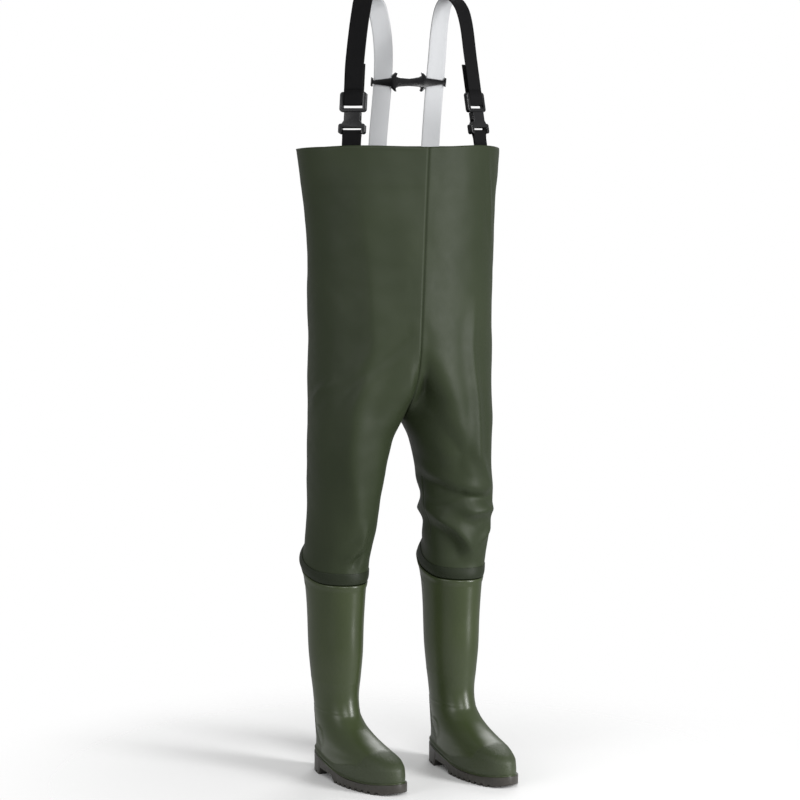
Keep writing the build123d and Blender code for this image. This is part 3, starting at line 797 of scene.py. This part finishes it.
def makeCuff(name, side):
    def place(u, v):
        angle = -pi + 2 * pi * u
        edge = bootEdge(ownY(side, skin(side, angle, 0.42)))
        z = edge - 0.012 + 0.039 * v
        return clothPoint(side, angle, z, 0.0012)

    piece = gridMesh(f"{name}_cuff", 120, 26, place, uvScale=(0.4, 0.039))
    turnOut(piece, lambda c: Vector((side * 0.124, 0.066, c.z)))
    thicken(piece, 0.0009)
    # the darker copy of the olive: painted shade where the cloth's bulge overhangs the boot's edge
    addMaterials(piece, shadedOlive)
    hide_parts(f"{name}_cuff_band")
    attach(piece, f"{name}_shin")
    return piece


def easedCopy(name, node, body, width, material, limit=30):
    source = frame["nodes"][node]
    bm = bmesh.new()
    bm.from_mesh(source.data)
    bmesh.ops.remove_doubles(bm, verts=bm.verts, dist=2e-5)
    bmesh.ops.dissolve_limit(
        bm, angle_limit=radians(1.5), verts=bm.verts, edges=bm.edges, use_dissolve_boundaries=False
    )
    piece = finishMesh(name, bm)
    for face in piece.data.polygons:
        face.use_smooth = True
    eased = piece.modifiers.new("edges", "BEVEL")
    eased.width = width
    eased.segments = 2
    eased.limit_method = "ANGLE"
    eased.angle_limit = radians(limit)
    eased.harden_normals = True
    addMaterials(piece, material)
    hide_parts(node)
    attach(piece, body)
    return piece


web = {
    "width": 0.038,
    "wall": 0.0015,
    "barTurn": 0.00295,
    "loopFront": 0.00425,
    "plugBar": 0.0543,
    "join": 0.0813,
    "tail": 0.052,
    "prongRoot": 0.0383,
    "tabRise": 0.030,
    "tabDepth": 0.058,
    "lean": radians(10),
    "backHalf": 0.056,
    "backCentre": 0.044,
    "backRimY": 0.1165,
    "backHighY": 0.074,
    "backHighZ": 1.440,
    "topZ": 1.562,
}


def buckleAxes(name, side):
    # origin at the socket's bar, x across, y inwards and z up the strap, read from the joints
    joints = {j["name"]: j for j in frame["joints"]}
    axis = Vector(joints[f"{name}_buckle_release"]["axis"]).normalized()
    outer = Vector(joints[f"{name}_outer_prong_squeeze"]["pos_m"])
    inner = Vector(joints[f"{name}_inner_prong_squeeze"]["pos_m"])
    across = (outer - inner).normalized() * side
    origin = (outer + inner) / 2 - axis * web["prongRoot"]
    return origin, across, axis.cross(across), axis


def flow(points, steps):
    # smooth run through the points, as (point, direction) pairs
    spots = []
    count = len(points)
    for k in range(count - 1):
        ahead = points[min(k + 2, count - 1)] - points[k]
        behind = points[k + 1] - points[max(k - 1, 0)]
        length = (points[k + 1] - points[k]).length / 3
        start = points[k] + behind.normalized() * length
        end = points[k + 1] - ahead.normalized() * length
        run = interpolate_bezier(points[k], start, end, points[k + 1], steps)
        spots += run if k == count - 2 else run[:-1]
    return [Vector(spot) for spot in spots]


def makeRibbon(name, line, acrossAt, materials, offset=0.0, out=1):
    # flat webbing along a line of points; acrossAt(share) is its width direction
    lengths = [0.0]
    for a, b in zip(line, line[1:]):
        lengths.append(lengths[-1] + (b - a).length)
    total = lengths[-1]
    count = len(line) - 1

    def place(u, v):
        k = round(v * count)
        ahead = (line[min(k + 1, count)] - line[max(k - 1, 0)]).normalized()
        across = acrossAt(lengths[k] / total)
        across = (across - ahead * across.dot(ahead)).normalized()
        crown = 0.0003 * (1 - (2 * u - 1) ** 2)
        return line[k] + across * (u - 0.5) * web["width"] + ahead.cross(across) * (crown * out)

    piece = gridMesh(name, 12, count, place, uvScale=(web["width"], total))
    thicken(piece, web["wall"], offset=offset, inner=1 if len(materials) > 1 else 0)
    addMaterials(piece, *materials)
    return piece


def arc(centre, radius, start, end, steps=10):
    # (y, z) points of an arc, angles in degrees from +y towards +z
    turns = [radians(start + (end - start) * k / steps) for k in range(steps + 1)]
    return [(centre[0] + radius * cos(t), centre[1] + radius * sin(t)) for t in turns]


def fromSideView(axes, points):
    origin = axes[0]
    inward, up = axes[2:]
    return [origin + inward * y + up * z for y, z in points]


def makeBraces(name, side):
    axes = buckleAxes(name, side)
    origin, across, inward, up = axes

    # short webbing round the socket's bar
    turn, lean = web["barTurn"], web["lean"]
    layer, foot = 0.0009, -web["tabRise"]
    depth = web["tabDepth"]
    front = [(-layer + depth * sin(lean), foot - depth * cos(lean)), (-layer, foot), (-layer, -0.013)]
    short = 0.75 * depth  # the back layer ends higher than the front one
    back = [(layer, -0.013), (layer, foot), (layer + short * sin(lean), foot - short * cos(lean))]
    sideView = front + [(-turn * 0.85, -0.004)] + arc((0, 0), turn, 180, 0) + [(turn * 0.85, -0.004)] + back
    piece = makeRibbon(f"{name}_tab", fromSideView(axes, sideView), lambda t: across, (webBlack,))
    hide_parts(f"{name}_front_tab")
    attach(piece, "waders")

    # adjusting end: down in front of the plug's bar, round it and up behind as the free tail
    bar, frontY, join = web["plugBar"], web["loopFront"], web["join"]
    sideView = [(-frontY, join), (-frontY, bar + 0.012), (-turn * 1.2, bar + 0.004)]
    sideView += arc((0, bar), turn, 180, 360)
    sideView += [(turn * 1.2, bar + 0.004), (frontY, bar + 0.012), (frontY, join)]
    sideView += [(frontY, join + web["tail"] * k / 4) for k in range(1, 5)]
    piece = makeRibbon(
        f"{name}_strap_end", fromSideView(axes, sideView), lambda t: across, (webBlack,)
    )
    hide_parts(f"{name}_strap_loop")
    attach(piece, f"{name}_plug")

    # the long strap, over the shoulder and down inside the back
    start = origin - inward * frontY + up * join
    straight = start + up * (web["tail"] + 0.004)
    backX = side * web["backHalf"] + web["backCentre"]
    rim = Vector((backX, web["backRimY"] + axisY, garment["rimZ"]))
    points = [
        start,
        straight,
        Vector((side * 0.105 + 0.015, axisY - 0.034, web["topZ"] - 0.030)),
        Vector((side * 0.088 + 0.018, axisY, web["topZ"])),
        Vector((side * 0.067 + 0.031, axisY + 0.034, web["topZ"] - 0.025)),
        Vector((backX, web["backHighY"] + axisY, web["backHighZ"])),
        rim,
        rim - Vector((0, 0, web["tabDepth"])),
    ]
    line = flow(points, 14)

    def width(share):
        faceTurn = steady([0.0, 0.18, 0.45, 0.72, 1.0], [33.0, 33.0, 14.0, 0.0, 0.0], share)
        return Vector((cos(radians(faceTurn)), side * sin(radians(faceTurn)), 0))

    piece = makeRibbon(f"{name}_strap", line, width, (webBlack, webWhite))
    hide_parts(f"{name}_shoulder_strap")
    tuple(points[2])
    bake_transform(piece)


def makePatch(name, node, side, middle, reach, inset, material):
    # welded patch inside the rim: flat over the webbing and down to the wall at its edges
    top = garment["rimZ"] - 0.006

    def place(u, v):
        s = 2 * u - 1
        z = top - 0.048 * (1 - v)
        edge = max(abs(s), abs(2 * v - 1) if v < 0.5 else 0.0)
        lift = 0.0045 + (inset - 0.0045) * ease(1.0, 0.70, edge)
        return skin(side, middle + reach * s, z, -lift)

    piece = gridMesh(name, 24, 20, place, uvScale=(0.058, 0.048))
    turnOut(piece, lambda c: Vector((0, axisY, c.z)))
    thicken(piece, 0.0010)
    addMaterials(piece, material)
    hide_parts(node)
    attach(piece, "waders")


for name, side in sides:
    makeHalf(name, side)
    print(name, "half made")
    makeBoot(name, side)
    makeWelt(name, side)
    makeCuff(name, side)
    print(name, "boot made")
    easedCopy(f"{name}_sole", f"{name}_boot_outsole", f"{name}_shin", 0.0009, soleBlack)
    easedCopy(f"{name}_insole_pad", f"{name}_insole", f"{name}_shin", 0.0015, feltGrey)
    easedCopy(f"{name}_socket", f"{name}_buckle_socket", "waders", 0.0004, plastic)
    easedCopy(f"{name}_plug_frame", f"{name}_buckle_plug", f"{name}_plug", 0.0004, plastic)
    for which in ("outer", "inner"):
        node = f"{name}_{which}_prong"
        easedCopy(f"{node}_arm", node, node, 0.0004, plastic)
    makeBraces(name, side)
    # the patches get the darker copy of the olive: painted shade inside the rim
    makePatch(f"{name}_front_patch", f"{name}_front_anchor", side, -0.822, 0.158, 0.0150, shadedOlive)
    makePatch(f"{name}_back_patch", f"{name}_back_anchor", side, 1.28, 0.146, 0.0205, shadedOlive)
    print(name, "braces made")

easedCopy("crossbar_plate", "back_crossbar", "crossbar", 0.0006, plastic)

rimTop = garment["rimZ"]
makeLining(
    "rim_facing", "top_facing", (-pi, pi), (rimTop - garment["facing"], rimTop - 0.002),
    0.0016, 0.0009, olive, across=200,
)
# the seam tapes get the darker copy of the olive: painted shade inside the garment
tapeLow, tapeHigh = garment["crotchZ"] + 0.09, rimTop - garment["facing"] - 0.001
makeLining(
    "front_tape", "front_seam_tape", (-0.075, 0.075), (tapeLow, tapeHigh),
    0.0016, 0.0007, shadedOlive, across=12,
)
makeLining(
    "back_tape", "back_seam_tape", (pi - 0.08, pi + 0.08), (tapeLow, tapeHigh),
    0.0016, 0.0007, shadedOlive, across=12,
)
print("linings made")


view = {"distance": 5.2, "turn": radians(-17), "height": 1.30, "pitch": radians(5.9), "lens": 117.4}


def makeStage():
    bm = bmesh.new()
    bmesh.ops.create_circle(bm, cap_ends=True, segments=64, radius=1.5)
    for vert in bm.verts:
        vert.co.z = -0.0005
    floorPiece = finishMesh("floor", bm)
    material, tree, shader = nodeSetup("pale floor")
    shader.inputs["Base Color"].default_value = (0.9, 0.9, 0.9, 1)
    shader.inputs["Roughness"].default_value = 0.9
    shader.inputs["Specular IOR Level"].default_value = 0.1
    # it fades out away from the feet, so that no edge shows against the white behind it
    coords = tree.nodes.new("ShaderNodeTexCoord")
    far = tree.nodes.new("ShaderNodeVectorMath")
    far.operation = "LENGTH"
    tree.links.new(coords.outputs["Object"], far.inputs[0])
    fade = tree.nodes.new("ShaderNodeMapRange")
    fade.interpolation_type = "SMOOTHSTEP"
    for key, value in (("From Min", 0.25), ("From Max", 0.95), ("To Min", 1.0), ("To Max", 0.0)):
        fade.inputs[key].default_value = value
    tree.links.new(far.outputs["Value"], fade.inputs["Value"])
    tree.links.new(fade.outputs["Result"], shader.inputs["Alpha"])
    addMaterials(floorPiece, material)


def makeLight(name, place, aim, size, power):
    data = bpy.data.lights.new(name, "AREA")
    data.shape = "RECTANGLE"
    data.size, data.size_y = size
    data.energy = power
    light = bpy.data.objects.new(name, data)
    light.location = place
    light.rotation_euler = (Vector(aim) - Vector(place)).to_track_quat("-Z", "Y").to_euler()
    scene.collection.objects.link(light)


def makeCamera():
    data = bpy.data.cameras.new("camera")
    data.lens = view["lens"]
    camera = bpy.data.objects.new("camera", data)
    turn = view["turn"]
    camera.location = (
        sin(turn) * view["distance"], axisY - cos(turn) * view["distance"], view["height"]
    )
    camera.rotation_euler = (pi / 2 - view["pitch"], 0, turn)
    scene.collection.objects.link(camera)
    scene.camera = camera


def makeWorld():
    # soft even light, and pure white where the camera sees past the object
    world = bpy.data.worlds.new("studio")
    scene.world = world
    world.use_nodes = True
    tree = world.node_tree
    backdrop = tree.nodes["Background"]
    backdrop.inputs["Color"].default_value = (1, 1, 1, 1)
    path = tree.nodes.new("ShaderNodeLightPath")
    strength = mathNode(tree, "MULTIPLY", path.outputs["Is Camera Ray"], 0.62)
    strength = mathNode(tree, "ADD", strength, 0.38)
    tree.links.new(strength, backdrop.inputs["Strength"])


makeStage()
makeWorld()
makeLight("key", (2.8, -3.0, 2.2), (0, 0, 0.8), (1.1, 2.6), 125)
makeLight("front", (-0.6, -4.2, 2.4), (0, 0, 0.8), (1.8, 2.0), 70)
makeLight("fill", (-3.4, -1.6, 1.6), (0, 0, 0.7), (1.2, 2.4), 30)
makeLight("strip", (1.15, -1.25, 0.42), (0, 0, 0.42), (0.30, 0.80), 13)
makeLight("edge", (1.5, 2.8, 2.6), (0, 0, 0.9), (1.6, 2.0), 40)
makeCamera()
scene.view_settings.view_transform = "Standard"
print("stage made")
